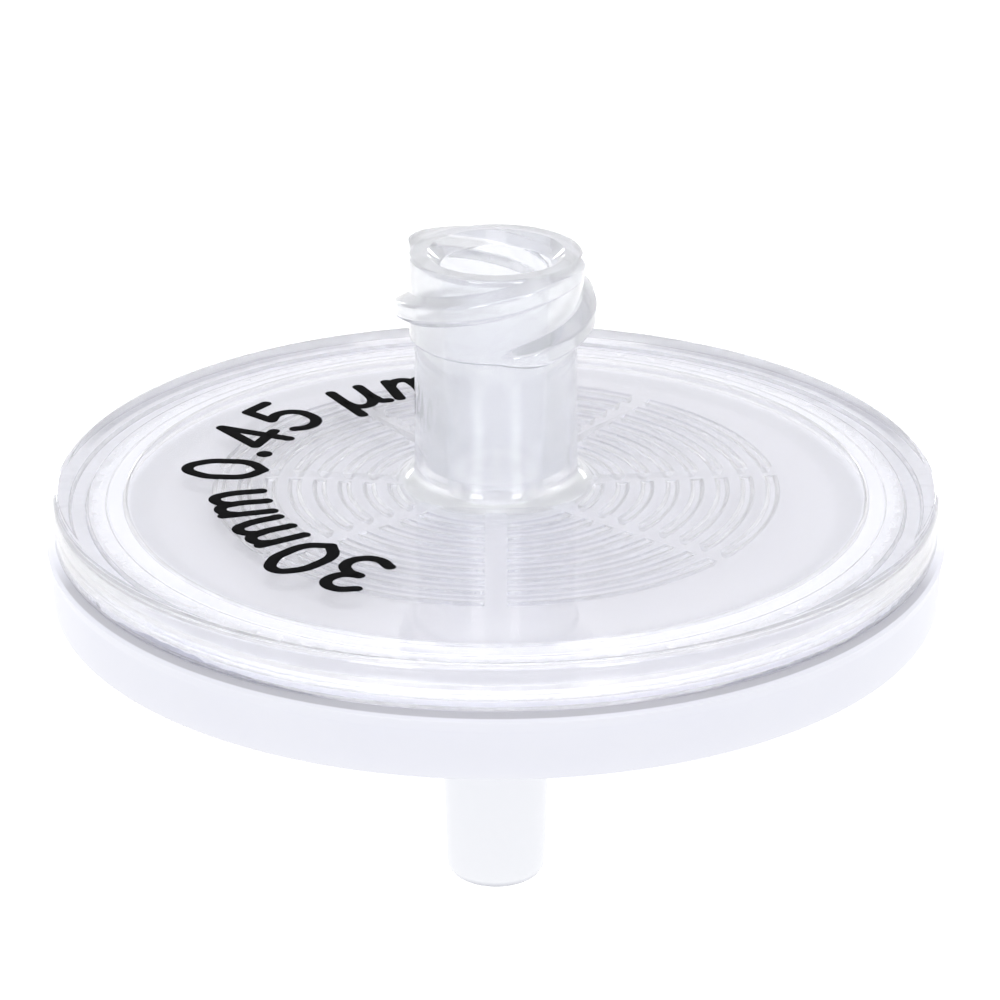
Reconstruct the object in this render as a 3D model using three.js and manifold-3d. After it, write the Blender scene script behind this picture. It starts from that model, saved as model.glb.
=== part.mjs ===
// Syringe filter, nominal 30 mm: a membrane clamped between two welded plastic shells.
// The clear inlet shell carries a female Luer hub with a two-start lock thread.
// The milky outlet shell carries a male Luer slip nozzle.
// Millimetres, +Z up towards the inlet hub, origin at the centre of the nozzle tip.

import * as THREE from 'three';
import { mergeVertices } from 'three/addons/utils/BufferGeometryUtils.js';
import Module from 'manifold-3d';

const manifold = await Module();
manifold.setup();

// Shared fits
const FACE_GAP = 0.02; // between flat faces that press on each other
const WELD_CLEARANCE = 0.04; // beside and under the weld tongue in its groove
const MEMBRANE_CLEARANCE = 0.08; // from the membrane's edge to the wall of its pocket
const LUER_SLOPE = 0.03; // radius gained per mm of length, the 6 % Luer taper

// Disc
const DISC_RADIUS = 17.52; // at the upper edge of the outlet shell's outer band
const SEAM_STEP = 0.2; // how far the inlet rim stands back from that edge
const SEAM_CHAMFER_WIDTH = 0.24;
const SEAM_CHAMFER_HEIGHT = 0.22;

// Weld: a tongue under the inlet rim sits in a groove in the outlet rim
const OUTER_WELD_WALL = 0.62; // inlet rim outside the tongue
const TONGUE_WIDTH = 0.7;
const TONGUE_DEPTH = 0.7;
const INNER_WELD_WALL = 0.72; // inlet rim between the tongue and the membrane's pocket

// Membrane, held at its edge by both shells
const MEMBRANE_THICKNESS = 0.18;
const INLET_CLAMP_WIDTH = 0.6;
const OUTLET_CLAMP_WIDTH = 1.0;

// Outlet shell: nozzle
const NOZZLE_LENGTH = 13.1; // tip to the underside of the disc
const NOZZLE_TIP_RADIUS = 1.985;
const NOZZLE_TIP_ROUND = 0.35;
const NOZZLE_ROOT_FILLET = 0.9;
const NOZZLE_BORE_RADIUS = 0.9;
const NOZZLE_BORE_CHAMFER = 0.2;

// Outlet shell: dish
const OUTLET_FLOOR = 1.5;
const OUTLET_BAND_DRAFT = 0.07; // radius lost down the outer band
const OUTLET_BAND_ROUND = 0.25;
const DRAIN_FUNNEL_WIDTH = 0.8; // from the bore out to the funnel's upper edge
const DRAIN_FUNNEL_DEPTH = 0.8;
const DRAIN_RIB_HEIGHT = 1.0;
const DRAIN_RIB_WIDTH = 0.5;
const DRAIN_RIB_PITCH = 1.45;
const DRAIN_RIB_START = 0.65; // from the funnel's edge to the innermost rib
const DRAIN_RIB_MARGIN = 1.0; // least plain ring outside the ribs

// Inlet shell: plate and rim
const CHAMBER_HEIGHT = 0.6; // membrane to the underside of the plate
const PLATE_THICKNESS = 1.0;
const INLET_RIM_ROUND = 0.3;
const INLET_ORIFICE_RADIUS = 1.25;
const SPREAD_RIB_HEIGHT = 0.22;
const SPREAD_RIB_WIDTH = 0.4;
const SPREAD_RIB_PITCH = 0.98;
const SPREAD_RIB_START = 2.54; // from the orifice to the innermost rib
const SPREAD_RIB_MARGIN = 3.4; // least plain ring outside the ribs

// Radial channels that cross the ribs of both shells
const CHANNELS = 8;
const CHANNEL_WIDTH = 0.85;

// Inlet shell: hub
const HUB_HEIGHT = 9.33; // plate to the hub's top face
const LUER_MOUTH_RADIUS = 2.15;
const LUER_LEAD_IN = 0.5;
const LUER_FLOOR_RISE = 0.53; // end of the Luer cone above the plate
const HUB_WALL = 1.05; // from the Luer mouth to the stem's foot
const STEM_DRAFT = 0.05; // radius lost up to the collar
const STEM_FILLET = 0.75;
const COLLAR_STEP = 0.21; // how far the collar stands out from the stem
const COLLAR_HEIGHT = 3.4;
const COLLAR_ROUND = 0.12;

// Lock thread on the collar, right-handed
const THREAD_STARTS = 2;
const THREAD_LEAD = 5.0; // rise in one turn
const THREAD_DEPTH = 0.54;
const THREAD_CREST_WIDTH = 0.62;
const THREAD_ROOT_WIDTH = 1.24;
const THREAD_START_ANGLE = -90;
const THREAD_RUN_IN = 0.06; // thread centre starts this far below the collar
const THREAD_RUN_OUT = 0.12; // and ends this far above the hub's top face
const THREAD_RAMP_ANGLE = 26; // over which each end grows out of the collar
const THREAD_SINK = 0.15; // how far the thread's foot reaches into the collar

// Facets
const RIM_SEGMENTS = 48;
const RIB_SEGMENTS = 32;
const THREAD_STEP = 9; // degrees
const ARC_STEPS = 2; // half the facets along each rounded edge
const SINK = 0.1; // how far a rib is let into its plate

// Radii that follow from the sizes above
const inletRim = DISC_RADIUS - SEAM_STEP;
const tongueOuter = inletRim - OUTER_WELD_WALL;
const tongueInner = tongueOuter - TONGUE_WIDTH;
const pocket = tongueInner - INNER_WELD_WALL;
const membraneRadius = pocket - MEMBRANE_CLEARANCE;
const chamber = membraneRadius - INLET_CLAMP_WIDTH;
const drain = membraneRadius - OUTLET_CLAMP_WIDTH;
const funnel = NOZZLE_BORE_RADIUS + DRAIN_FUNNEL_WIDTH;
const stemFoot = LUER_MOUTH_RADIUS + HUB_WALL;
const stemTop = stemFoot - STEM_DRAFT;
const collar = stemTop + COLLAR_STEP;

// Levels that follow from the sizes above
const floorTop = NOZZLE_LENGTH + OUTLET_FLOOR;
const ledge = floorTop + DRAIN_RIB_HEIGHT;
const membraneBottom = ledge + FACE_GAP;
const membraneTop = membraneBottom + MEMBRANE_THICKNESS;
const plateBottom = membraneTop + CHAMBER_HEIGHT;
const plateTop = plateBottom + PLATE_THICKNESS;
const hubTop = plateTop + HUB_HEIGHT;
const collarBottom = hubTop - COLLAR_HEIGHT;

const clearPlastic = new THREE.MeshStandardMaterial({
  color: 0xe9ebf2,
  roughness: 0.08,
  metalness: 0,
  transparent: true,
  opacity: 0.45,
});
const milkyPlastic = new THREE.MeshStandardMaterial({ color: 0xf0f1f8, roughness: 0.3, metalness: 0 });
const membranePaper = new THREE.MeshStandardMaterial({ color: 0xe4e5ec, roughness: 0.9, metalness: 0 });

function toSolid(geometry) {
  const bare = geometry.clone();
  bare.deleteAttribute('normal');
  bare.deleteAttribute('uv');
  const merged = mergeVertices(bare, 1e-5);
  const corners = merged.index.array;
  const kept = [];
  for (let i = 0; i < corners.length; i += 3) {
    const [a, b, c] = [corners[i], corners[i + 1], corners[i + 2]];
    if (a !== b && b !== c && c !== a) {
      kept.push(a, b, c);
    }
  }
  return new manifold.Manifold(new manifold.Mesh({
    numProp: 3,
    vertProperties: new Float32Array(merged.attributes.position.array),
    triVerts: new Uint32Array(kept),
  }));
}

function toGeometry(solid) {
  const mesh = solid.getMesh();
  const geometry = new THREE.BufferGeometry();
  geometry.setAttribute('position', new THREE.BufferAttribute(mesh.vertProperties, 3));
  geometry.setIndex(new THREE.BufferAttribute(mesh.triVerts, 1));
  geometry.computeVertexNormals();
  return geometry;
}

// A closed outline of radius and height, drawn anticlockwise, turned about Z.
function revolve(outline, segments) {
  const points = outline.getPoints(ARC_STEPS);
  points.push(points[0].clone());
  const geometry = new THREE.LatheGeometry(points, segments);
  geometry.rotateX(Math.PI / 2);
  return toSolid(geometry);
}

// As many concentric ribs as fit between two radii, crossed by the radial channels.
function ribField({ inner, outer, pitch, width, bottom, top }) {
  const count = 1 + Math.floor((outer - inner - width) / pitch);
  let ribs = null;
  for (let i = 0; i < count; i += 1) {
    const edge = inner + i * pitch;
    const outline = new THREE.Path();
    outline.moveTo(edge, bottom);
    outline.lineTo(edge + width, bottom);
    outline.lineTo(edge + width, top);
    outline.lineTo(edge, top);
    const ring = revolve(outline, RIB_SEGMENTS);
    ribs = ribs ? ribs.add(ring) : ring;
  }
  const reach = 2 * (inner + count * pitch);
  const channel = new THREE.BoxGeometry(reach, CHANNEL_WIDTH, 2 * (top - bottom));
  channel.translate(0, 0, (bottom + top) / 2);
  for (let i = 0; i < CHANNELS / 2; i += 1) {
    const turned = channel.clone().rotateZ((i * 2 * Math.PI) / CHANNELS);
    ribs = ribs.subtract(toSolid(turned));
  }
  return ribs;
}

// Height of the thread above the collar at an angle from the ridge's start, 0 to 1 of its depth.
function threadRamp(angle, sweep) {
  const share = THREE.MathUtils.clamp(Math.min(angle, sweep - angle) / THREAD_RAMP_ANGLE, 0, 1);
  return Math.sin((share * Math.PI) / 2);
}

// One ridge of the lock thread, a trapezium swept up a helix and closed at both ends.
function threadRidge() {
  const foot = collar - THREAD_SINK;
  const sweep = (360 * (THREAD_RUN_IN + COLLAR_HEIGHT + THREAD_RUN_OUT)) / THREAD_LEAD;
  const steps = Math.round(sweep / THREAD_STEP);
  const positions = [];
  const faces = [];
  for (let i = 0; i <= steps; i += 1) {
    const angle = (sweep * i) / steps;
    const height = collarBottom - THREAD_RUN_IN + (THREAD_LEAD * angle) / 360;
    const crest = collar + THREAD_DEPTH * threadRamp(angle, sweep);
    const section = [
      [foot, -THREAD_ROOT_WIDTH / 2],
      [collar, -THREAD_ROOT_WIDTH / 2],
      [crest, -THREAD_CREST_WIDTH / 2],
      [crest, THREAD_CREST_WIDTH / 2],
      [collar, THREAD_ROOT_WIDTH / 2],
      [foot, THREAD_ROOT_WIDTH / 2],
    ];
    const turn = THREE.MathUtils.degToRad(THREAD_START_ANGLE + angle);
    for (const [radius, rise] of section) {
      positions.push(radius * Math.cos(turn), radius * Math.sin(turn), height + rise);
    }
  }
  const corners = 6;
  for (let i = 0; i < steps; i += 1) {
    for (let j = 0; j < corners; j += 1) {
      const a = i * corners + j;
      const b = i * corners + ((j + 1) % corners);
      faces.push(a, a + corners, b);
      faces.push(b, a + corners, b + corners);
    }
  }
  const last = steps * corners;
  for (let j = 1; j < corners - 1; j += 1) {
    faces.push(0, j, j + 1);
    faces.push(last, last + j + 1, last + j);
  }
  const geometry = new THREE.BufferGeometry();
  geometry.setAttribute('position', new THREE.Float32BufferAttribute(positions, 3));
  geometry.setIndex(faces);
  return toSolid(geometry);
}

function lockThread() {
  const reach = 2 * (collar + THREAD_DEPTH);
  const sleeve = new THREE.CylinderGeometry(reach, reach, COLLAR_HEIGHT, RIM_SEGMENTS);
  sleeve.rotateX(Math.PI / 2);
  sleeve.translate(0, 0, (collarBottom + hubTop) / 2);
  const ridge = threadRidge().intersect(toSolid(sleeve));
  let thread = ridge;
  for (let i = 1; i < THREAD_STARTS; i += 1) {
    thread = thread.add(ridge.rotate([0, 0, (360 * i) / THREAD_STARTS]));
  }
  return thread;
}

function inletShell() {
  const rimBottom = ledge + FACE_GAP;
  const clampFace = membraneTop + FACE_GAP;
  const luerEnd = plateTop + LUER_FLOOR_RISE;
  const luerEndRadius = LUER_MOUTH_RADIUS - LUER_SLOPE * (hubTop - luerEnd);
  const rimEdge = inletRim - INLET_RIM_ROUND;
  const collarEdge = collar - COLLAR_ROUND;
  const leadIn = LUER_MOUTH_RADIUS + LUER_LEAD_IN;
  const outline = new THREE.Path();
  outline.moveTo(INLET_ORIFICE_RADIUS, plateBottom);
  outline.lineTo(chamber, plateBottom);
  outline.lineTo(chamber, clampFace);
  outline.lineTo(pocket, clampFace);
  outline.lineTo(pocket, rimBottom);
  outline.lineTo(tongueInner, rimBottom);
  outline.lineTo(tongueInner, rimBottom - TONGUE_DEPTH);
  outline.lineTo(tongueOuter, rimBottom - TONGUE_DEPTH);
  outline.lineTo(tongueOuter, rimBottom);
  outline.lineTo(inletRim, rimBottom);
  outline.lineTo(inletRim, plateTop - INLET_RIM_ROUND);
  outline.absarc(rimEdge, plateTop - INLET_RIM_ROUND, INLET_RIM_ROUND, 0, Math.PI / 2);
  outline.lineTo(stemFoot + STEM_FILLET, plateTop);
  outline.absarc(
    stemFoot + STEM_FILLET, plateTop + STEM_FILLET, STEM_FILLET, -Math.PI / 2, -Math.PI, true);
  outline.lineTo(stemTop, collarBottom);
  outline.lineTo(collar, collarBottom);
  outline.lineTo(collar, hubTop - COLLAR_ROUND);
  outline.absarc(collarEdge, hubTop - COLLAR_ROUND, COLLAR_ROUND, 0, Math.PI / 2);
  outline.lineTo(leadIn, hubTop);
  outline.absarc(leadIn, hubTop - LUER_LEAD_IN, LUER_LEAD_IN, Math.PI / 2, Math.PI);
  outline.lineTo(luerEndRadius, luerEnd);
  outline.lineTo(INLET_ORIFICE_RADIUS, luerEnd);
  const ribs = ribField({
    inner: INLET_ORIFICE_RADIUS + SPREAD_RIB_START,
    outer: chamber - SPREAD_RIB_MARGIN,
    pitch: SPREAD_RIB_PITCH,
    width: SPREAD_RIB_WIDTH,
    bottom: plateBottom - SPREAD_RIB_HEIGHT,
    top: plateBottom + SINK,
  });
  return revolve(outline, RIM_SEGMENTS).add(ribs).add(lockThread());
}

function outletShell() {
  const rootRadius = NOZZLE_TIP_RADIUS + LUER_SLOPE * NOZZLE_LENGTH;
  const tipEdge = NOZZLE_TIP_RADIUS - NOZZLE_TIP_ROUND;
  const bandBottom = DISC_RADIUS - OUTLET_BAND_DRAFT;
  const bandEdge = bandBottom - OUTLET_BAND_ROUND;
  const grooveInner = tongueInner - WELD_CLEARANCE;
  const grooveOuter = tongueOuter + WELD_CLEARANCE;
  const grooveFloor = ledge - TONGUE_DEPTH - WELD_CLEARANCE;
  const outline = new THREE.Path();
  outline.moveTo(NOZZLE_BORE_RADIUS + NOZZLE_BORE_CHAMFER, 0);
  outline.lineTo(tipEdge, 0);
  outline.absarc(tipEdge, NOZZLE_TIP_ROUND, NOZZLE_TIP_ROUND, -Math.PI / 2, 0);
  outline.lineTo(rootRadius, NOZZLE_LENGTH - NOZZLE_ROOT_FILLET);
  outline.absarc(
    rootRadius + NOZZLE_ROOT_FILLET, NOZZLE_LENGTH - NOZZLE_ROOT_FILLET,
    NOZZLE_ROOT_FILLET, Math.PI, Math.PI / 2, true);
  outline.lineTo(bandEdge, NOZZLE_LENGTH);
  outline.absarc(bandEdge, NOZZLE_LENGTH + OUTLET_BAND_ROUND, OUTLET_BAND_ROUND, -Math.PI / 2, 0);
  outline.lineTo(DISC_RADIUS, ledge - SEAM_CHAMFER_HEIGHT);
  outline.lineTo(DISC_RADIUS - SEAM_CHAMFER_WIDTH, ledge);
  outline.lineTo(grooveOuter, ledge);
  outline.lineTo(grooveOuter, grooveFloor);
  outline.lineTo(grooveInner, grooveFloor);
  outline.lineTo(grooveInner, ledge);
  outline.lineTo(drain, ledge);
  outline.lineTo(drain, floorTop);
  outline.lineTo(funnel, floorTop);
  outline.lineTo(NOZZLE_BORE_RADIUS, floorTop - DRAIN_FUNNEL_DEPTH);
  outline.lineTo(NOZZLE_BORE_RADIUS, NOZZLE_BORE_CHAMFER);
  const ribs = ribField({
    inner: funnel + DRAIN_RIB_START,
    outer: drain - DRAIN_RIB_MARGIN,
    pitch: DRAIN_RIB_PITCH,
    width: DRAIN_RIB_WIDTH,
    bottom: floorTop - SINK,
    top: ledge,
  });
  return revolve(outline, RIM_SEGMENTS).add(ribs);
}

function membraneDisc() {
  const disc = new THREE.CylinderGeometry(
    membraneRadius, membraneRadius, MEMBRANE_THICKNESS, RIM_SEGMENTS);
  disc.rotateX(Math.PI / 2);
  disc.translate(0, 0, (membraneBottom + membraneTop) / 2);
  return disc;
}

function addPiece(group, name, geometry, material) {
  const mesh = new THREE.Mesh(geometry, material);
  mesh.name = name;
  group.add(mesh);
}

const group = new THREE.Group();
addPiece(group, 'inlet_shell', toGeometry(inletShell()), clearPlastic);
addPiece(group, 'membrane', membraneDisc(), membranePaper);
addPiece(group, 'outlet_shell', toGeometry(outletShell()), milkyPlastic);

export default group;
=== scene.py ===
"""A round disposable syringe filter, nominal 30 mm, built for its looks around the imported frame."""

from math import atan2, ceil, cos, hypot, pi, radians, sin, tan

import bpy
from mathutils import Matrix, Vector


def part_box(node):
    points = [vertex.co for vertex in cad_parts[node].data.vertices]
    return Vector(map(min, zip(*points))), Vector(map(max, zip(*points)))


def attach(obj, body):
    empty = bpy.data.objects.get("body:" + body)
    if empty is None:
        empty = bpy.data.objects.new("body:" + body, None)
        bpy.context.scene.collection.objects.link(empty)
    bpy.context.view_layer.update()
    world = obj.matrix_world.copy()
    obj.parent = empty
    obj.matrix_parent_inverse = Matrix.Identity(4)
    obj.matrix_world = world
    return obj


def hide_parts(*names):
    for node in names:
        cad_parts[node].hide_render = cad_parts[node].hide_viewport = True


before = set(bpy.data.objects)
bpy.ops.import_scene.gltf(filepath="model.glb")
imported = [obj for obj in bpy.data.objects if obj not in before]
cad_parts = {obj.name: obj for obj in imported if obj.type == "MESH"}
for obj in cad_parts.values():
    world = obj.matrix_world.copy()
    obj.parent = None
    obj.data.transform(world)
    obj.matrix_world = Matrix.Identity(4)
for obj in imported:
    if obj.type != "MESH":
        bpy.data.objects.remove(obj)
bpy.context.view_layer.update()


# Outlet shell
# The lower half of the housing, one injection moulding of natural polypropylene, milky and translucent.
# Its dish holds the membrane up on concentric drain ribs, and a slip nozzle leads the filtrate away.
# A groove round its ledge takes the weld tongue of the upper half.

MM = 0.001
TURN_STEPS = 192
STRIP = 0.03
LUER_SLOPE = 0.03  # radius per length of a 6 % Luer taper
CHANNEL_WIDTH = 0.85


def in_mm(node):
    """Outer radius, lowest and highest level of a round node of the frame, in mm."""
    low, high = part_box(node)
    return high[0] / MM, low[2] / MM, high[2] / MM


def rounded(corners):
    """The outline through (radius, height, round) corners in mm, each rounded off by its own radius.
    A narrow strip beside each rounding keeps the shading of the long faces next to it flat."""
    spots = [Vector(corner[:2]) for corner in corners]
    sides = []
    for i, here in enumerate(spots):
        back = spots[i - 1] - here
        on = spots[(i + 1) % len(spots)] - here
        half = back.angle(on) / 2
        sides.append((back, on, half, corners[i][2] / tan(half)))
    outline = []
    for i, here in enumerate(spots):
        back, on, half, reach = sides[i]
        if reach == 0:
            outline.append(here)
            continue
        room_back = min((back.length - reach - sides[i - 1][3]) / 3, STRIP)
        room_on = min((on.length - reach - sides[(i + 1) % len(spots)][3]) / 3, STRIP)
        back, on = back.normalized(), on.normalized()
        centre = here + (back + on).normalized() * corners[i][2] / sin(half)
        start, end = here + back * reach - centre, here + on * reach - centre
        sweep = atan2(start.x * end.y - start.y * end.x, start.dot(end))
        steps = 3 + int(corners[i][2] * 7)
        outline.append(here + back * (reach + room_back))
        outline += [centre + Matrix.Rotation(sweep * k / steps, 2) @ start for k in range(steps + 1)]
        outline.append(here + on * (reach + room_on))
    return outline


def drawn(name, outline):
    """A closed wire through (radius, height) points in mm, extruded from one point to the next."""
    bpy.ops.object.select_all(action="DESELECT")
    start = (outline[0][0] * MM, 0, outline[0][1] * MM)
    bpy.ops.mesh.primitive_plane_add(size=MM, location=start)
    piece = bpy.context.object
    piece.name = piece.data.name = name
    bpy.ops.object.mode_set(mode="EDIT")
    bpy.ops.mesh.merge(type="CENTER")
    for a, b in zip(outline, outline[1:] + outline[:1]):
        step = ((b[0] - a[0]) * MM, 0, (b[1] - a[1]) * MM)
        bpy.ops.mesh.extrude_region_move(TRANSFORM_OT_translate={"value": step})
    bpy.ops.mesh.select_all(action="SELECT")
    bpy.ops.mesh.remove_doubles(threshold=MM / 2000)
    return piece


def turned(name, outline):
    """The outline spun once round Z into a closed body."""
    piece = drawn(name, outline)
    bpy.ops.mesh.spin(steps=TURN_STEPS, angle=2 * pi, center=(0, 0, 0), axis=(0, 0, 1))
    bpy.ops.mesh.select_all(action="SELECT")
    bpy.ops.mesh.remove_doubles(threshold=MM / 2000)
    bpy.ops.mesh.normals_make_consistent(inside=False)
    bpy.ops.object.mode_set(mode="OBJECT")
    bpy.ops.object.transform_apply(location=True, rotation=True, scale=True)
    return piece


def combined(piece, tool, operation):
    """Cuts a tool body out of a piece, or joins it on, and clears the tool away."""
    modifier = piece.modifiers.new(operation.lower(), "BOOLEAN")
    modifier.operation = operation
    modifier.solver = "MANIFOLD"
    modifier.object = tool
    bpy.ops.object.select_all(action="DESELECT")
    bpy.context.view_layer.objects.active = piece
    piece.select_set(True)
    bpy.ops.object.modifier_apply(modifier=modifier.name)
    bpy.data.objects.remove(tool, do_unlink=True)


def cut_channels(piece, angles, reach, bottom, top):
    """Cuts radial channels, each a bar from the axis outwards, through the ribs between two levels."""
    for angle in angles:
        turn = radians(angle)
        bpy.ops.object.select_all(action="DESELECT")
        bpy.ops.mesh.primitive_cube_add(
            size=1,
            location=(reach / 2 * cos(turn) * MM, reach / 2 * sin(turn) * MM, (bottom + top) / 2 * MM),
            rotation=(0, 0, turn),
            scale=(reach * MM, CHANNEL_WIDTH * MM, (top - bottom) * MM),
        )
        bar = bpy.context.object
        bpy.ops.object.transform_apply(location=True, rotation=True, scale=True)
        combined(piece, bar, "DIFFERENCE")


def rib_corners(inner, pitch, count, width, draft, root, crest, root_round, crest_round):
    """Corners of a row of ribs between their roots and crests, from the innermost outwards."""
    corners = []
    for i in range(count):
        edge = inner + i * pitch
        corners += [
            (edge, root, root_round),
            (edge + draft, crest, crest_round),
            (edge + width - draft, crest, crest_round),
            (edge + width, root, root_round),
        ]
    return corners


def finished(piece, material, node, angle):
    """Smooths a piece, gives it its material, and ties it to the frame."""
    bpy.ops.object.select_all(action="DESELECT")
    bpy.context.view_layer.objects.active = piece
    piece.select_set(True)
    bpy.ops.object.shade_smooth_by_angle(angle=radians(angle))
    piece.data.materials.clear()
    piece.data.materials.append(material)
    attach(piece, "root")
    if node:
        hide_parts(node)


rim_radius, tip, ledge = in_mm("outlet_shell")
membrane_radius, membrane_bottom, membrane_top = in_mm("membrane")
inlet_radius, tongue_tip, hub_top = in_mm("inlet_shell")

NOZZLE_LENGTH = 12.95
NOZZLE_TIP_RADIUS = 1.985
BORE_RADIUS = 0.9
DISH_FLOOR = ledge - 1.0
WELD_CLEARANCE = 0.04
TONGUE_WIDTH = 0.7
OUTER_WELD_WALL = 0.62
OUTLET_CLAMP_WIDTH = 1.0
DRAIN_RIBS, DRAIN_RIB_START, DRAIN_RIB_PITCH, DRAIN_RIB_WIDTH = 8, 2.35, 1.45, 0.5
DRAIN_CHANNEL_REACH = 13.4
FUNNEL_WIDTH, FUNNEL_DEPTH = 0.8, 0.8
SEAM_CHAMFER = (0.24, 0.22)
FLASH = 0.12  # how far the squeezed-out melt stands proud of the wall

tongue_outer = inlet_radius - OUTER_WELD_WALL
tongue_inner = tongue_outer - TONGUE_WIDTH
groove_outer = tongue_outer + WELD_CLEARANCE
groove_inner = tongue_inner - WELD_CLEARANCE
groove_floor = tongue_tip - WELD_CLEARANCE + 0.02
drain = membrane_radius - OUTLET_CLAMP_WIDTH
outlet_corners = [
    (BORE_RADIUS + 0.2, tip, 0.05),
    (NOZZLE_TIP_RADIUS, tip, 0.5),
    (NOZZLE_TIP_RADIUS + LUER_SLOPE * NOZZLE_LENGTH, NOZZLE_LENGTH, 0.9),
    (rim_radius - 0.07, NOZZLE_LENGTH, 0.12),
    (rim_radius, ledge - 0.7, 0.5),
    (rim_radius + FLASH, ledge - SEAM_CHAMFER[1] - 0.06, 0.05),
    (rim_radius - SEAM_CHAMFER[0], ledge, 0.04),
    (groove_outer, ledge, 0.04),
    (groove_outer, groove_floor, 0.06),
    (groove_inner, groove_floor, 0.06),
    (groove_inner, ledge, 0.04),
    (drain, ledge, 0.06),
    (drain, DISH_FLOOR, 0.1),
]
drain_ribs = rib_corners(
    DRAIN_RIB_START, DRAIN_RIB_PITCH, DRAIN_RIBS, DRAIN_RIB_WIDTH, 0, DISH_FLOOR, ledge, 0.08, 0.08
)
outlet_corners += reversed(drain_ribs)
outlet_corners += [
    (BORE_RADIUS + FUNNEL_WIDTH, DISH_FLOOR, 0.1),
    (BORE_RADIUS, DISH_FLOOR - FUNNEL_DEPTH, 0.2),
    (BORE_RADIUS, tip + 0.2, 0.05),
]
outlet_shell = turned("outlet_shell_moulding", rounded(outlet_corners))
cut_channels(outlet_shell, range(0, 360, 45), DRAIN_CHANNEL_REACH, DISH_FLOOR + 0.02, ledge + 0.5)


def linear(code):
    """An sRGB hex colour as linear RGBA."""
    channels = [int(code[i : i + 2], 16) / 255 for i in (1, 3, 5)]
    return [c / 12.92 if c <= 0.04045 else ((c + 0.055) / 1.055) ** 2.4 for c in channels] + [1]


def add(tree, kind, inputs=(), **settings):
    """Adds a shader node. Each input is given a plain value, or the output that feeds it."""
    node = tree.nodes.new("ShaderNode" + kind)
    for name, value in settings.items():
        setattr(node, name, value)
    for name, value in dict(inputs).items():
        if isinstance(value, bpy.types.NodeSocket):
            tree.links.new(value, node.inputs[name])
        else:
            node.inputs[name].default_value = value
    return node


def new_material(name):
    """An empty node material with its output, and its object coordinates in mm."""
    material = bpy.data.materials.new(name)
    material.use_nodes = True
    tree = material.node_tree
    tree.nodes.clear()
    place = add(tree, "TexCoord").outputs["Object"]
    in_millimetres = add(tree, "VectorMath", {0: place, "Scale": 1 / MM}, operation="SCALE")
    return material, tree, in_millimetres.outputs[0]


def height_and_radius(tree, mm):
    """The height and the distance from the axis, in mm, at each point of a surface."""
    parts = add(tree, "SeparateXYZ", {0: mm})
    flat = add(tree, "CombineXYZ", {0: parts.outputs[0], 1: parts.outputs[1]})
    radius = add(tree, "VectorMath", {0: flat.outputs[0]}, operation="LENGTH")
    return parts.outputs[2], radius.outputs["Value"]


def share_along_x(tree, mm, radius):
    """How near the X axis each point is: 0 on the Y axis, 1 on the X axis."""
    parts = add(tree, "SeparateXYZ", {0: mm})
    along = add(tree, "Math", {0: parts.outputs[0]}, operation="ABSOLUTE")
    return add(tree, "Math", {0: along.outputs[0], 1: radius}, operation="DIVIDE").outputs[0]


def put_out(tree, shader):
    """Sends a shader to the surface."""
    output = tree.nodes.new("ShaderNodeOutputMaterial")
    tree.links.new(shader, output.inputs["Surface"])


# Natural polypropylene: crystals in it scatter the light, so it is milky with a cool cast, and the mould's
# even surface gives a soft gloss. Flow clouds just show. The nozzle is painted paler, painted light for
# the light that comes through its wall. The top of the clamped and welded ledge is painted near white,
# painted light for the light it takes in through the clear rim. The lip of squeezed-out melt along the
# seam is painted grey, a painted shade of the seam, except at the far left and right, and the rounding of
# the nozzle's tip is painted grey, a painted shade for its dark edge.
milky, tree, mm = new_material("natural_polypropylene")
clouds = add(tree, "TexNoise", {"Vector": mm, "Scale": 0.35, "Detail": 3})
tone = add(
    tree,
    "Mix",
    {0: clouds.outputs[0], 6: linear("#ECEDF8"), 7: linear("#F0F1FB")},
    data_type="RGBA",
)
height, radius = height_and_radius(tree, mm)
# Painted light: the nozzle is painted paler below its root, for the light that comes through its wall.
nozzle_painted_light = add(tree, "MapRange", {0: height, 1: NOZZLE_LENGTH - 0.8, 2: NOZZLE_LENGTH})
tone = add(
    tree,
    "Mix",
    {0: nozzle_painted_light.outputs[0], 6: linear("#F7F9FF"), 7: tone.outputs[2]},
    data_type="RGBA",
)
# Painted shade: the rounding of the nozzle's tip is painted grey, for its dark edge.
at_tip = add(tree, "MapRange", {0: height, 1: 0.4, 2: 0.12})
off_face = add(
    tree,
    "MapRange",
    {0: radius, 1: NOZZLE_TIP_RADIUS - 0.5, 2: NOZZLE_TIP_RADIUS - 0.35},
)
tip_painted_shade = add(tree, "Math", {0: at_tip.outputs[0], 1: off_face.outputs[0]}, operation="MULTIPLY")
tone = add(
    tree,
    "Mix",
    {0: tip_painted_shade.outputs[0], 6: tone.outputs[2], 7: linear("#BFC0C9")},
    data_type="RGBA",
)
# Painted light: the top of the ledge inside the rim is painted near white, for the light it takes in
# through the clear rim.
on_top = add(tree, "MapRange", {0: height, 1: groove_floor - 0.2, 2: groove_floor - 0.1})
past_drain = add(tree, "MapRange", {0: radius, 1: drain - 0.2, 2: drain - 0.1})
inside = add(tree, "MapRange", {0: radius, 1: rim_radius - 0.3, 2: rim_radius - 0.26, 3: 1, 4: 0})
ledge_painted_light = add(tree, "Math", {0: on_top.outputs[0], 1: past_drain.outputs[0]}, operation="MULTIPLY")
ledge_painted_light = add(tree, "Math", {0: ledge_painted_light.outputs[0], 1: inside.outputs[0]}, operation="MULTIPLY")
tone = add(
    tree,
    "Mix",
    {0: ledge_painted_light.outputs[0], 6: tone.outputs[2], 7: linear("#F8F9FF")},
    data_type="RGBA",
)
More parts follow.
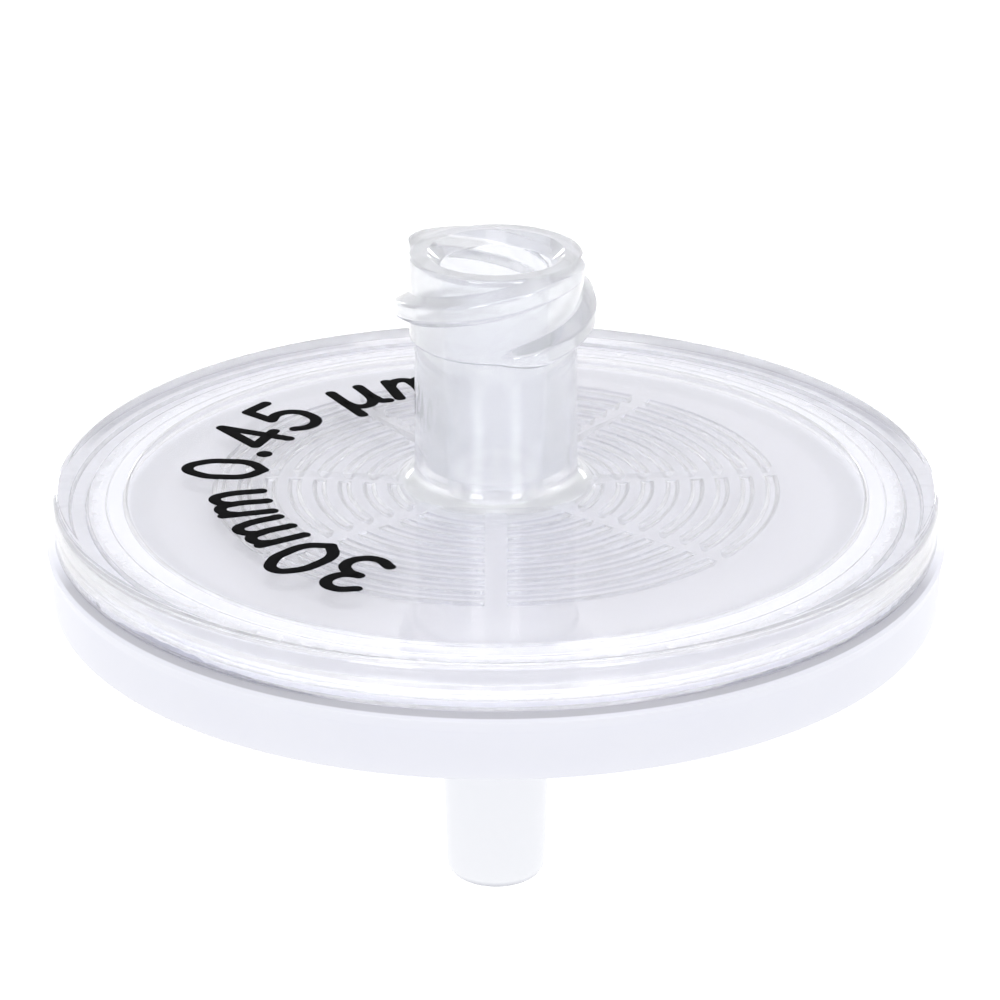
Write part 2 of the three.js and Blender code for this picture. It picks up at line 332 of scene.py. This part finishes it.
# Painted shade: the lip along the seam is painted grey, except at the far left and right.
at_seam = add(tree, "MapRange", {0: height, 1: ledge - 0.19, 2: ledge - 0.16})
outside = add(tree, "MapRange", {0: inside.outputs[0], 3: 1, 4: 0})
seam_shade = add(tree, "Math", {0: at_seam.outputs[0], 1: outside.outputs[0]}, operation="MULTIPLY")
seam_shade_span = add(tree, "MapRange", {0: share_along_x(tree, mm, radius), 1: 0.975, 2: 0.93})
seam_shade = add(tree, "Math", {0: seam_shade.outputs[0], 1: seam_shade_span.outputs[0]}, operation="MULTIPLY")
tone = add(
    tree,
    "Mix",
    {0: seam_shade.outputs[0], 6: tone.outputs[2], 7: linear("#C4C4CC")},
    data_type="RGBA",
)
body = add(
    tree,
    "BsdfPrincipled",
    {
        "Base Color": tone.outputs[2],
        "Roughness": 0.3,
        "IOR": 1.49,
        "Subsurface Weight": 0.35,
        "Subsurface Radius": (1.0, 1.0, 1.0),
        "Subsurface Scale": 0.6 * MM,
    },
)
put_out(tree, body.outputs[0])
finished(outlet_shell, milky, "outlet_shell", 32)


# Membrane
# A disc punched from a cast polymer membrane, 0.18 mm thick, as matt as paper.
# Its edge is pinched between the two shells, which keeps it flat and seals it.

membrane = turned(
    "membrane_disc",
    rounded(
        [
            (0.001, membrane_bottom, 0),
            (membrane_radius, membrane_bottom, 0.03),
            (membrane_radius, membrane_top, 0.03),
            (0.001, membrane_top, 0),
        ]
    ),
)

# Cast membrane: a pore structure far below a hundredth of a millimetre, matt and white, which lets light
# through. It is greyer over the open drain. Where it lies on the white ledge it is painted near white,
# painted light for the brightness the white ledge gives it from below, and a painted shade darkens it at
# the moat round the ribs. The pores are drawn as a soft mottle that just shows.
paper, tree, mm = new_material("cast_membrane")
mottle = add(tree, "TexNoise", {"Vector": mm, "Scale": 1.6, "Detail": 6})
tone = add(
    tree,
    "Mix",
    {0: mottle.outputs[0], 6: linear("#DEDEE5"), 7: linear("#E2E2E8")},
    data_type="RGBA",
)
height, radius = height_and_radius(tree, mm)
waver = add(tree, "MapRange", {0: mottle.outputs[0], 3: -0.15, 4: 0.15})
reach = add(tree, "Math", {0: radius, 1: waver.outputs[0]}, operation="ADD")
# Painted shade: the membrane is painted darker in a ring just inside the ledge's edge.
moat = add(tree, "MapRange", {0: reach.outputs[0], 1: drain - 1.0, 2: drain - 0.6})
tone = add(
    tree,
    "Mix",
    {0: moat.outputs[0], 6: tone.outputs[2], 7: linear("#D1D2D9")},
    data_type="RGBA",
)
# Painted light: where the membrane lies on the white ledge it is painted near white, for the brightness
# the ledge gives it.
membrane_ledge_light = add(tree, "MapRange", {0: reach.outputs[0], 1: drain + 0.1, 2: drain + 0.4})
tone = add(
    tree,
    "Mix",
    {0: membrane_ledge_light.outputs[0], 6: tone.outputs[2], 7: linear("#F8F9FF")},
    data_type="RGBA",
)
relief = add(tree, "Bump", {"Height": mottle.outputs[0], "Strength": 0.15, "Distance": 0.02 * MM})
body = add(
    tree,
    "BsdfPrincipled",
    {"Base Color": tone.outputs[2], "Roughness": 0.85, "IOR": 1.4, "Normal": relief.outputs[0]},
)
put_out(tree, body.outputs[0])
finished(membrane, paper, "membrane", 32)


# Inlet shell
# The upper half of the housing, one injection moulding of clarified polypropylene with a polished surface.
# Low rings under its plate spread the liquid, and its rim is welded into the groove of the lower half.
# The hub is a female Luer cone with a two-start thread that locks it on a syringe.

PLATE_BOTTOM = membrane_top + 0.6
PLATE_TOP = PLATE_BOTTOM + 1.0
INLET_CLAMP_WIDTH = 0.6
RIBS, RIB_START, RIB_PITCH, RIB_WIDTH, RIB_DRAFT, RIB_DEPTH = 8, 3.76, 0.98, 0.48, 0.12, 0.26
RIB_FIELD = 11.3  # radius past the outermost rib, which the channels reach
SPREAD_CHANNELS = (-90, -39.5, 7, 57, 90, 123, 173, 219.5)
POCKET_CLEARANCE = 0.08
ORIFICE_RADIUS = 1.25
STEM_FOOT, STEM_TOP, STEM_FILLET = 3.2, 3.15, 0.75
COLLAR_RADIUS, COLLAR_HEIGHT = 3.36, 3.4
MOUTH_RADIUS, LEAD_IN, LUER_FLOOR_RISE = 2.15, 0.5, 0.53

chamber = membrane_radius - INLET_CLAMP_WIDTH
pocket = membrane_radius + POCKET_CLEARANCE
collar_bottom = hub_top - COLLAR_HEIGHT
luer_end = PLATE_TOP + LUER_FLOOR_RISE
inlet_corners = [(ORIFICE_RADIUS, PLATE_BOTTOM, 0.1)]
inlet_corners += rib_corners(
    RIB_START, RIB_PITCH, RIBS, RIB_WIDTH, RIB_DRAFT, PLATE_BOTTOM, PLATE_BOTTOM - RIB_DEPTH, 0.06, 0.06
)
inlet_corners += [
    (chamber, PLATE_BOTTOM, 0.2),
    (chamber, membrane_top + 0.02, 0.03),
    (pocket, membrane_top + 0.02, 0.03),
    (pocket, ledge + 0.02, 0.03),
    (tongue_inner, ledge + 0.02, 0.05),
    (tongue_inner, tongue_tip, 0.12),
    (tongue_outer, tongue_tip, 0.12),
    (tongue_outer, ledge + 0.02, 0.05),
    (inlet_radius, ledge + 0.02, 0.05),
    (inlet_radius, PLATE_TOP, 0.3),
    (STEM_FOOT, PLATE_TOP, STEM_FILLET),
    (STEM_TOP, collar_bottom, 0.06),
    (COLLAR_RADIUS, collar_bottom, 0.1),
    (COLLAR_RADIUS, hub_top, 0.12),
    (MOUTH_RADIUS + LEAD_IN, hub_top, 0.04),
    (MOUTH_RADIUS, hub_top - LEAD_IN, 0.1),
    (MOUTH_RADIUS - LUER_SLOPE * (hub_top - luer_end), luer_end, 0.08),
    (ORIFICE_RADIUS, luer_end, 0.08),
]
inlet_shell = turned("inlet_shell_moulding", rounded(inlet_corners))
cut_channels(inlet_shell, SPREAD_CHANNELS, RIB_FIELD, PLATE_BOTTOM - 0.5, PLATE_BOTTOM + 0.004)

THREAD_LEAD, THREAD_DEPTH = 5.0, 0.54
THREAD_ROOT_WIDTH, THREAD_CREST_WIDTH = 1.24, 0.62
THREAD_START, THREAD_RAMP = radians(-90), radians(26)
THREAD_RUN_IN, THREAD_RUN_OUT, THREAD_SINK = 0.06, 0.12, 0.15
TRIM = 0.01  # keeps a thread's cut ends off the collar's own faces

crest = COLLAR_RADIUS + THREAD_DEPTH
sunk = COLLAR_RADIUS - THREAD_SINK
flank_slope = (THREAD_ROOT_WIDTH - THREAD_CREST_WIDTH) / 2 / THREAD_DEPTH
sunk_half = THREAD_ROOT_WIDTH / 2 + THREAD_SINK * flank_slope
thread_steps = ceil((THREAD_RUN_IN + COLLAR_HEIGHT + THREAD_RUN_OUT) / THREAD_LEAD * TURN_STEPS)
sweep = 2 * pi * thread_steps / TURN_STEPS
ridge_section = rounded(
    [
        (sunk, -sunk_half, 0),
        (crest, -THREAD_CREST_WIDTH / 2, 0.16),
        (crest, THREAD_CREST_WIDTH / 2, 0.16),
        (sunk, sunk_half, 0),
    ]
)
for start in (THREAD_START, THREAD_START + pi):
    ridge = drawn("lock_thread", ridge_section)
    bpy.ops.mesh.spin(steps=thread_steps, angle=sweep, center=(0, 0, 0), axis=(0, 0, -1))
    bpy.ops.object.mode_set(mode="OBJECT")
    bpy.ops.object.transform_apply(location=True, rotation=True, scale=True)
    for corner in ridge.data.vertices:
        x, y, z = corner.co / MM
        turn = atan2(y, x) % (2 * pi)
        turn = 0 if turn > sweep + 0.1 else turn
        ramp = sin(min(turn, sweep - turn, THREAD_RAMP) / THREAD_RAMP * pi / 2) if turn < sweep else 0
        radius = sunk + (hypot(x, y) - sunk) * (0.1 + 0.9 * ramp)
        rise = collar_bottom - THREAD_RUN_IN + THREAD_LEAD * turn / (2 * pi)
        corner.co = Vector((radius * cos(turn + start), radius * sin(turn + start), z + rise)) * MM
    bpy.ops.object.mode_set(mode="EDIT")
    bpy.ops.mesh.select_all(action="DESELECT")
    bpy.ops.mesh.select_mode(type="EDGE")
    bpy.ops.mesh.select_non_manifold()
    bpy.ops.mesh.fill_holes(sides=0)
    bpy.ops.mesh.select_all(action="SELECT")
    bpy.ops.mesh.normals_make_consistent(inside=False)
    bpy.ops.mesh.select_mode(type="VERT")
    bpy.ops.object.mode_set(mode="OBJECT")
    bpy.ops.object.select_all(action="DESELECT")
    bpy.ops.mesh.primitive_cube_add(
        size=1,
        location=(0, 0, (collar_bottom + hub_top) / 2 * MM),
        scale=(0.02, 0.02, (COLLAR_HEIGHT - 2 * TRIM) * MM),
    )
    slab = bpy.context.object
    bpy.ops.object.transform_apply(location=True, rotation=True, scale=True)
    combined(ridge, slab, "INTERSECT")
    combined(inlet_shell, ridge, "UNION")

# Clarified polypropylene: the plate is polished in the mould and clear, with faint flow waves. The thick
# hub is hazier, with a glossy skin outside and a polished mouth. Dark grey is painted in a ring at the
# foot of the collar and on the faces of the hub that look down, fainter under the thread: painted shade
# for the dark edges there. Where the tongue melted into its groove the weld is frosted and uneven, and a
# ragged grey band is painted along the seam, wider towards the sides and gone at the far left and right:
# painted shade of the seam. The ribs' flanks are painted a little greyer, a painted shade for the ribs'
# dark edges.
clear, tree, mm = new_material("clarified_polypropylene")
height, radius = height_and_radius(tree, mm)
melt = add(tree, "TexNoise", {"Vector": mm, "Scale": 0.9, "Detail": 4, "Distortion": 0.6})
run = add(tree, "TexNoise", {"Vector": mm, "Scale": 0.22, "Detail": 4, "Roughness": 0.6})
# Painted shade: a ragged grey band along the seam just above the ledge, wider towards the sides and gone
# at the far left and right.
share = share_along_x(tree, mm, radius)
seam_shade_span = add(tree, "MapRange", {0: share, 1: 0.975, 2: 0.93})
wide = add(tree, "MapRange", {0: share, 1: 0.3, 2: 0.6})
edge = add(tree, "MapRange", {0: run.outputs[0], 1: 0.35, 2: 0.65, 3: 0.15, 4: 0.5})
edge = add(tree, "Math", {0: edge.outputs[0], 1: wide.outputs[0]}, operation="MULTIPLY")
edge = add(tree, "Math", {0: edge.outputs[0], 1: ledge - 0.02}, operation="ADD")
below = add(tree, "Math", {0: edge.outputs[0], 1: height}, operation="SUBTRACT")
below = add(tree, "MapRange", {0: below.outputs[0], 1: -0.01, 2: 0.03})
outside = add(tree, "MapRange", {0: radius, 1: inlet_radius - 0.4, 2: inlet_radius - 0.3})
seam_painted_shade = add(tree, "Math", {0: below.outputs[0], 1: outside.outputs[0]}, operation="MULTIPLY")
seam_painted_shade = add(tree, "Math", {0: seam_painted_shade.outputs[0], 1: seam_shade_span.outputs[0]}, operation="MULTIPLY")
above = add(tree, "MapRange", {0: height, 1: PLATE_TOP, 2: PLATE_TOP + 0.5})
core = add(tree, "MapRange", {0: radius, 1: STEM_FOOT + 1.2, 2: STEM_FOOT + 0.4})
hub = add(tree, "Math", {0: above.outputs[0], 1: core.outputs[0]}, operation="MAXIMUM")
tone = add(
    tree,
    "Mix",
    {0: hub.outputs[0], 6: linear("#FDFDFF"), 7: linear("#F8F9FB")},
    data_type="RGBA",
)
on_collar = add(tree, "MapRange", {0: height, 1: collar_bottom - 0.05, 2: collar_bottom + 0.05})
tone = add(
    tree,
    "Mix",
    {0: on_collar.outputs[0], 6: tone.outputs[2], 7: linear("#F4F5F8")},
    data_type="RGBA",
)
tone = add(
    tree,
    "Mix",
    {0: seam_painted_shade.outputs[0], 6: tone.outputs[2], 7: linear("#B8B8C2")},
    data_type="RGBA",
)
# Painted shade: the ribs' flanks are painted greyer, for the ribs' dark edges.
rib_crest = PLATE_BOTTOM - RIB_DEPTH
rib_flank_shade = add(tree, "MapRange", {0: height, 1: rib_crest + 0.02, 2: rib_crest + 0.05})
under = add(tree, "MapRange", {0: height, 1: PLATE_BOTTOM - 0.02, 2: PLATE_BOTTOM - 0.05})
rib_flank_shade = add(tree, "Math", {0: rib_flank_shade.outputs[0], 1: under.outputs[0]}, operation="MULTIPLY")
in_field = add(tree, "MapRange", {0: radius, 1: RIB_FIELD, 2: RIB_FIELD - 0.1})
rib_flank_shade = add(tree, "Math", {0: rib_flank_shade.outputs[0], 1: in_field.outputs[0]}, operation="MULTIPLY")
tone = add(
    tree,
    "Mix",
    {0: rib_flank_shade.outputs[0], 6: tone.outputs[2], 7: linear("#D0D1DB")},
    data_type="RGBA",
)
# Painted shade: dark grey on the faces of the hub that look down, fainter under the thread, and in a ring
# at the foot of the collar.
surface = add(tree, "NewGeometry")
up = add(tree, "SeparateXYZ", {0: surface.outputs["Normal"]})
side_on = add(tree, "MapRange", {0: surface.outputs["Backfacing"], 3: 1, 4: -1})
up = add(tree, "Math", {0: up.outputs[2], 1: side_on.outputs[0]}, operation="MULTIPLY")
downward_shade = add(tree, "MapRange", {0: up.outputs[0], 1: -0.3, 2: -0.6})
downward_shade = add(tree, "Math", {0: downward_shade.outputs[0], 1: above.outputs[0]}, operation="MULTIPLY")
past_collar = add(tree, "MapRange", {0: radius, 1: COLLAR_RADIUS + 0.02, 2: COLLAR_RADIUS + 0.12})
painted_shade_line = add(tree, "Mix", {0: past_collar.outputs[0], 2: 1.0, 3: 0.3})
painted_shade_line = add(tree, "Math", {0: painted_shade_line.outputs[0], 1: downward_shade.outputs[0]}, operation="MULTIPLY")
offset_up = add(tree, "Math", {0: height, 1: collar_bottom}, operation="SUBTRACT")
offset = add(tree, "Math", {0: offset_up.outputs[0]}, operation="ABSOLUTE")
collar_edge_shade = add(tree, "MapRange", {0: offset.outputs[0], 1: 0.07, 2: 0.03})
off_bore = add(tree, "MapRange", {0: radius, 1: MOUTH_RADIUS + 0.1, 2: MOUTH_RADIUS + 0.2})
collar_edge_shade = add(tree, "Math", {0: collar_edge_shade.outputs[0], 1: off_bore.outputs[0]}, operation="MULTIPLY")
painted_shade_line = add(tree, "Math", {0: painted_shade_line.outputs[0], 1: collar_edge_shade.outputs[0]}, operation="MAXIMUM")
tone = add(
    tree,
    "Mix",
    {0: painted_shade_line.outputs[0], 6: tone.outputs[2], 7: linear("#84858F")},
    data_type="RGBA",
)
low = add(tree, "MapRange", {0: height, 1: ledge + 0.1, 2: ledge + 0.03})
past_pocket = add(tree, "MapRange", {0: radius, 1: pocket + 0.1, 2: pocket + 0.6})
welded = add(tree, "Math", {0: low.outputs[0], 1: past_pocket.outputs[0]}, operation="MULTIPLY")
off_mouth = add(tree, "MapRange", {0: radius, 1: MOUTH_RADIUS + LEAD_IN, 2: MOUTH_RADIUS + LEAD_IN + 0.1})
below_collar = add(tree, "MapRange", {0: offset_up.outputs[0], 1: 0.5, 2: 0})
satin = add(tree, "Math", {0: off_mouth.outputs[0], 1: below_collar.outputs[0]}, operation="MAXIMUM")
satin = add(tree, "Math", {0: satin.outputs[0], 1: hub.outputs[0]}, operation="MULTIPLY")
haze = add(tree, "MapRange", {0: satin.outputs[0], 3: 0.05, 4: 0.2})
crumpled = add(tree, "TexVoronoi", {"Vector": mm, "Scale": 0.8}, feature="DISTANCE_TO_EDGE")
vein = add(tree, "MapRange", {0: crumpled.outputs[0], 1: 0.02, 2: 0.1, 3: 0.6, 4: 0.3})
gloss = add(tree, "Mix", {0: welded.outputs[0], 2: haze.outputs[0], 3: vein.outputs[0]})
side = add(tree, "MapRange", {0: radius, 1: inlet_radius - 0.03, 2: inlet_radius - 0.01})
under_edge = add(tree, "MapRange", {0: height, 1: PLATE_TOP - 0.25, 2: PLATE_TOP - 0.35})
side = add(tree, "Math", {0: side.outputs[0], 1: under_edge.outputs[0]}, operation="MULTIPLY")
gloss = add(tree, "Mix", {0: side.outputs[0], 2: gloss.outputs[0], 3: 0.14})
waves = add(tree, "TexNoise", {"Vector": mm, "Scale": 0.5, "Detail": 1})
wave_height = add(tree, "Math", {0: waves.outputs[0], 1: 0.002}, operation="MULTIPLY")
melt_height = add(tree, "Math", {0: melt.outputs[0], 1: welded.outputs[0]}, operation="MULTIPLY")
lumps = add(
    tree,
    "Math",
    {0: melt_height.outputs[0], 1: 0.026, 2: wave_height.outputs[0]},
    operation="MULTIPLY_ADD",
)
relief = add(tree, "Bump", {"Height": lumps.outputs[0], "Distance": MM})
body = add(
    tree,
    "BsdfPrincipled",
    {
        "Base Color": tone.outputs[2],
        "Roughness": gloss.outputs[0],
        "IOR": 1.5,
        "Transmission Weight": 0.8,
        "Coat Weight": hub.outputs[0],
        "Coat Roughness": 0.05,
        "Normal": relief.outputs[0],
    },
)
put_out(tree, body.outputs[0])
finished(inlet_shell, clear, "inlet_shell", 32)


# Marking
# The size and the pore size, pad-printed in black ink on the plate, in an arc with its feet to the hub.
# It is a film of ink, with round stroke ends that the pad leaves.

BASELINE_RADIUS, CAP_HEIGHT, STROKE, DOT = 9.2, 3.0, 0.5, 0.66
FILM = 0.012
GLYPHS = {
    "0": [
        [
            (0.27, 0), (0.05, 0.2), (0, 0.5), (0.05, 0.8), (0.27, 1),
            (0.49, 0.8), (0.54, 0.5), (0.49, 0.2), (0.27, 0),
        ],
    ],
    "3": [
        [(0.03, 0.88), (0.23, 1), (0.44, 0.92), (0.46, 0.7), (0.35, 0.57), (0.2, 0.53)],
        [(0.2, 0.53), (0.39, 0.48), (0.52, 0.3), (0.44, 0.07), (0.23, 0), (0, 0.12)],
    ],
    "4": [[(0.4, 1), (0, 0.3)], [(0, 0.3), (0.56, 0.3)], [(0.4, 1), (0.4, 0)]],
    "5": [
        [(0.48, 1), (0.09, 1)],
        [(0.09, 1), (0.05, 0.55)],
        [(0.05, 0.55), (0.27, 0.62), (0.47, 0.5), (0.5, 0.25), (0.38, 0.04), (0.16, 0), (0, 0.1)],
    ],
    ".": [[(0, 0.1)]],
    "m": [
        [(0, 0.64), (0, 0)],
        [(0, 0.45), (0.12, 0.62), (0.27, 0.62), (0.34, 0.48), (0.34, 0)],
        [(0.34, 0.45), (0.46, 0.62), (0.61, 0.62), (0.68, 0.48), (0.68, 0)],
    ],
    "µ": [
        [(0.06, 0.66), (0, -0.25)],
        [(0.03, 0.3), (0.1, 0.05), (0.26, 0), (0.4, 0.12), (0.47, 0.35)],
        [(0.5, 0.66), (0.47, 0.2), (0.5, 0.04), (0.58, 0)],
    ],
}
MARKING = [
    ("3", 241), ("0", 227.5), ("m", 212), ("m", 195.5),
    ("0", 176), (".", 166), ("4", 157), ("5", 144),
    ("µ", 124), ("m", 109),
]

strokes, ends = [], []
for glyph, angle in MARKING:
    width = max(x for stroke in GLYPHS[glyph] for x, _ in stroke)
    for stroke in GLYPHS[glyph]:
        points = []
        for x, y in stroke:
            across, out = (x - width / 2) * CAP_HEIGHT, BASELINE_RADIUS + y * CAP_HEIGHT
            points.append((*(Matrix.Rotation(radians(angle - 90), 2) @ Vector((across, out)) * MM), 0))
        ends += [(points[0], glyph), (points[-1], glyph)]
        if glyph == ".":
            continue
        path = bpy.data.curves.new("pen", "CURVE")
        path.dimensions = "3D"
        path.bevel_depth = STROKE / 2 * MM
        path.bevel_resolution = 3
        path.use_fill_caps = True
        spline = path.splines.new("BEZIER")
        spline.bezier_points.add(len(points) - 1)
        for point, place in zip(spline.bezier_points, points):
            point.co = place
            point.handle_left_type = point.handle_right_type = "AUTO"
        strokes.append(bpy.data.objects.new("pen_stroke", path))
        bpy.context.collection.objects.link(strokes[-1])
bpy.ops.object.select_all(action="DESELECT")
for stroke in strokes:
    stroke.select_set(True)
bpy.context.view_layer.objects.active = strokes[0]
bpy.ops.object.convert(target="MESH")
for place, glyph in ends:
    size = DOT if glyph == "." else STROKE
    bpy.ops.mesh.primitive_uv_sphere_add(segments=16, ring_count=8, radius=size / 2 * MM, location=place)
    strokes.append(bpy.context.object)
    bpy.ops.object.transform_apply(location=True, rotation=True, scale=True)
bpy.ops.object.select_all(action="DESELECT")
for stroke in strokes:
    stroke.select_set(True)
bpy.context.view_layer.objects.active = strokes[0]
bpy.ops.object.join()
marking = bpy.context.object
marking.name = marking.data.name = "printed_marking"
bpy.ops.object.mode_set(mode="EDIT")
bpy.ops.mesh.select_all(action="SELECT")
bpy.ops.mesh.remove_doubles(threshold=MM / 2000)
bpy.ops.mesh.normals_make_consistent(inside=False)
bpy.ops.object.mode_set(mode="OBJECT")
for corner in marking.data.vertices:
    corner.co.z = PLATE_TOP * MM + 0.002 * MM + max(corner.co.z, 0) / (STROKE / 2) * FILM

# Pad-printing ink: a dense black film, matt beside the plastic, thinner where the pad lifted.
ink, tree, mm = new_material("pad_printing_ink")
speckle = add(tree, "TexNoise", {"Vector": mm, "Scale": 4, "Detail": 4})
tone = add(
    tree,
    "Mix",
    {0: speckle.outputs[0], 6: linear("#030304"), 7: linear("#101013")},
    data_type="RGBA",
)
body = add(
    tree,
    "BsdfPrincipled",
    {"Base Color": tone.outputs[2], "Roughness": 0.7, "Specular IOR Level": 0.03},
)
put_out(tree, body.outputs[0])
finished(marking, ink, None, 40)


# Room
# The filter hangs over a plain white sheet in soft, even daylight, as a syringe would hold it. The lamps
# show only in gloss and through the clear plastic: two windows and the sky in front, two doors behind.

FLOOR_DROP = 300
SHEET = "#FAFAFA"
SHEET_LIFT = 0.3  # brings the sheet up to white behind the object, without lighting it
LAMP_DISTANCE = 0.48

bpy.ops.mesh.primitive_plane_add(size=4, location=(0, 0, -FLOOR_DROP * MM))
sheet = bpy.context.object
sheet.name = "white_sheet"
white, tree, mm = new_material("white_sheet")
path = add(tree, "LightPath")
seen = add(
    tree, "Math", {0: path.outputs["Is Camera Ray"], 1: path.outputs["Is Glossy Ray"]}, operation="MAXIMUM"
)
seen = add(
    tree, "Math", {0: seen.outputs[0], 1: path.outputs["Is Transmission Ray"]}, operation="MAXIMUM"
)
glow = add(tree, "Math", {0: seen.outputs[0], 1: SHEET_LIFT}, operation="MULTIPLY")
paper_side = add(tree, "BsdfDiffuse", {"Color": linear(SHEET)})
lift = add(tree, "Emission", {"Color": (1, 1, 1, 1), "Strength": glow.outputs[0]})
both = add(tree, "AddShader", {0: paper_side.outputs[0], 1: lift.outputs[0]})
put_out(tree, both.outputs[0])
sheet.data.materials.append(white)

world = bpy.data.worlds.new("daylight")
bpy.context.scene.world = world
world.use_nodes = True
tree = world.node_tree
tree.nodes.clear()
sky = add(tree, "Background", {"Color": (1, 1, 1, 1), "Strength": 1.0})
output = tree.nodes.new("ShaderNodeOutputWorld")
tree.links.new(sky.outputs[0], output.inputs["Surface"])

# Degrees round from the front, degrees up, metres wide, metres high, and watts.
for name, turn, rise, width, height, power in (
    ("window_left", -27, 20, 0.13, 0.24, 0.5),
    ("window_right", 28.5, 20, 0.1, 0.24, 0.4),
    ("skylight", 0, 56, 0.5, 0.3, 0.5),
    ("door_left", 207, 5, 0.05, 0.18, 0.1),
    ("door_right", 153, 5, 0.05, 0.18, 0.1),
):
    bearing, up = radians(turn - 90), radians(rise)
    place = Vector((cos(up) * cos(bearing), cos(up) * sin(bearing), sin(up))) * LAMP_DISTANCE
    bpy.ops.object.light_add(type="AREA", location=place)
    lamp = bpy.context.object
    lamp.name = name
    lamp.data.shape = "RECTANGLE"
    lamp.data.size, lamp.data.size_y = width, height
    lamp.data.energy = power
    lamp.rotation_euler = (-place).to_track_quat("-Z", "Y").to_euler()
    lamp.visible_diffuse = False


# Camera
# A long lens, looking down on the plate at 23 degrees.

ELEVATION = 23.052
DISTANCE = 153.204
AIM = 16.39
LENS = 140.1
SIDE_SHIFT = 0.004

tilt = radians(ELEVATION)
bpy.ops.object.camera_add(
    location=(0, -DISTANCE * cos(tilt) * MM, (AIM + DISTANCE * sin(tilt)) * MM),
    rotation=(pi / 2 - tilt, 0, 0),
)
camera = bpy.context.object
camera.name = "camera"
camera.data.lens = LENS
camera.data.sensor_width = 36
camera.data.shift_x = SIDE_SHIFT
camera.data.clip_start = MM
bpy.context.scene.camera = camera
bpy.context.scene.view_settings.view_transform = "Standard"

# Light that is caught between the clear walls takes many turns before it gets out, and after a matt
# surface it must still see them as smooth.
paths = bpy.context.scene.cycles
paths.max_bounces = paths.transmission_bounces = paths.glossy_bounces = 32
paths.diffuse_bounces = 16
paths.blur_glossy = 0
